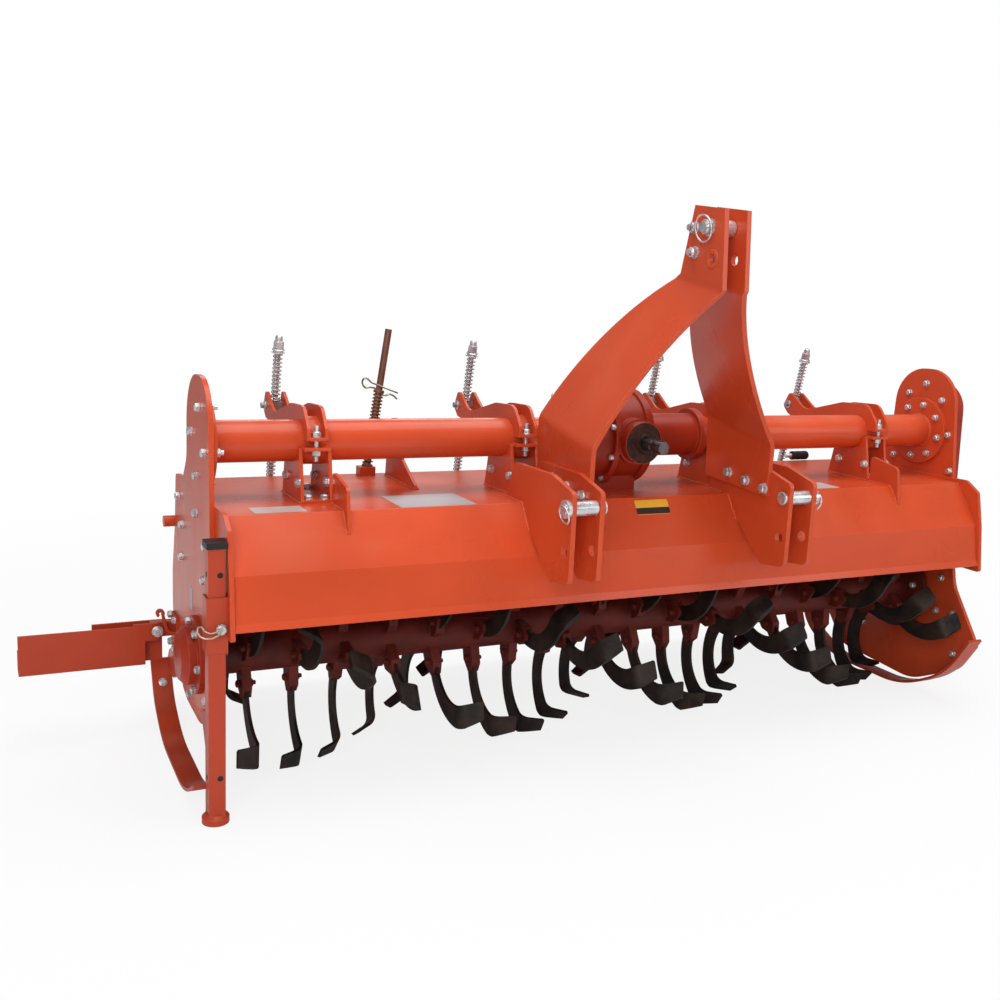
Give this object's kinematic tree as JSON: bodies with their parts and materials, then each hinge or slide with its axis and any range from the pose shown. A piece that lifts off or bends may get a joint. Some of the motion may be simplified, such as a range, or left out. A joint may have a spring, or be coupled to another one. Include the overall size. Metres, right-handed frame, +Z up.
{
  "type": "rotavator",
  "caption": "Three-point-mounted rotavator: curved tines on a rotor under a folded hood, central gearbox, side gear case, bent mast arms, trailing board and parking stand.",
  "frame": {"origin": "on the floor, under the middle of the bounding box", "axes": "+X along the rotor, to the right of someone who faces the machine from the tractor; +Y backwards, away from the tractor; +Z up"},
  "size_m": [2.78, 1.06, 1.44],
  "materials": {
    "orange_paint": "gloss orange-red paint",
    "rotor_paint": "dark red-brown paint",
    "tine_steel": "near black, slightly glossy",
    "zinc": "bright zinc plate",
    "shaft_steel": "dark oiled steel",
    "spring_steel": "bright spring steel",
    "brown_steel": "brown lacquer",
    "black_plastic": "matt black"
  },
  "bodies": {
    "frame": {"tube_left": "orange_paint", "tube_right": "orange_paint", "gearbox_housing": "orange_paint", "gearbox_cover": "orange_paint", "gearbox_trumpet": "orange_paint", "hood_deck": "orange_paint", "hood_end_left": "orange_paint", "hood_end_right": "orange_paint", "side_plate_left": "orange_paint", "side_plate_right": "orange_paint", "gear_case": "orange_paint", "bearing_housing": "orange_paint", "skid_left": "orange_paint", "skid_right": "orange_paint", "deck_gussets": "orange_paint", "clamp_bases": "orange_paint", "rod_arm_1": "orange_paint", "rod_arm_2": "orange_paint", "rod_arm_3": "orange_paint", "rod_arm_4": "orange_paint", "hitch_bracket_left": "orange_paint", "hitch_bracket_right": "orange_paint", "lower_pin_left": "zinc", "lower_pin_right": "zinc", "mast_arm_left": "orange_paint", "mast_arm_right": "orange_paint", "mast_spacers": "zinc", "upper_pin": "zinc", "adjusting_rod": "brown_steel", "stand_sleeve": "orange_paint", "hinge_rod": "orange_paint", "side_arm_bracket": "orange_paint"},
    "rotor": {"rotor_tube": "rotor_paint", "tines": "tine_steel", "rotor_hubs": "rotor_paint"},
    "input_shaft": {"input_shaft": "shaft_steel"},
    "stand": {"stand_leg": "orange_paint", "stand_cap": "black_plastic"},
    "side_arm": {"side_arm": "orange_paint"},
    "trailing_board": {"trailing_board": "orange_paint", "board_lugs": "orange_paint"},
    "trunnions": {"trunnions": "orange_paint"},
    "rods": {"spring_rods": "zinc", "springs_upper": "spring_steel", "springs_lower": "spring_steel"}
  },
  "joints": [
    {"name": "rotor_spin", "type": "hinge", "parent": "frame", "child": "rotor", "pos_m": [0.164, -0.014, 0.313], "axis": [1, 0, 0], "continuous": true},
    {"name": "input_spin", "type": "hinge", "parent": "frame", "child": "input_shaft", "pos_m": [0.136, -0.224, 0.838], "axis": [0, 1, 0], "continuous": true},
    {"name": "stand_slide", "type": "slide", "parent": "frame", "child": "stand", "axis": [0, 0, 1], "range_m": [0, 0.35]},
    {"name": "side_arm_hinge", "type": "hinge", "parent": "frame", "child": "side_arm", "pos_m": [-1.05, 0.306, 0.292], "axis": [0, 1, 0], "range_deg": [0, 90]},
    {"name": "board_hinge", "type": "hinge", "parent": "frame", "child": "trailing_board", "pos_m": [0.164, 0.328, 0.576], "axis": [1, 0, 0], "range_deg": [0, 40]},
    {"name": "trunnion_hinge", "type": "hinge", "parent": "frame", "child": "trunnions", "pos_m": [0.164, 0.301, 0.888], "axis": [1, 0, 0], "range_deg": [0, 12.5]},
    {"name": "rod_slide", "type": "slide", "parent": "trunnions", "child": "rods", "axis": [0, -0.2066, 0.9784], "range_m": [0, 0.05]}
  ],
  "couplings": [
    {"joint": "input_spin", "follows": "rotor_spin", "ratio": -2.571},
    {"joint": "trunnion_hinge", "follows": "board_hinge", "ratio": 0.306},
    {"joint": "rod_slide", "follows": "board_hinge", "m_per_rad": 0.068}
  ]
}
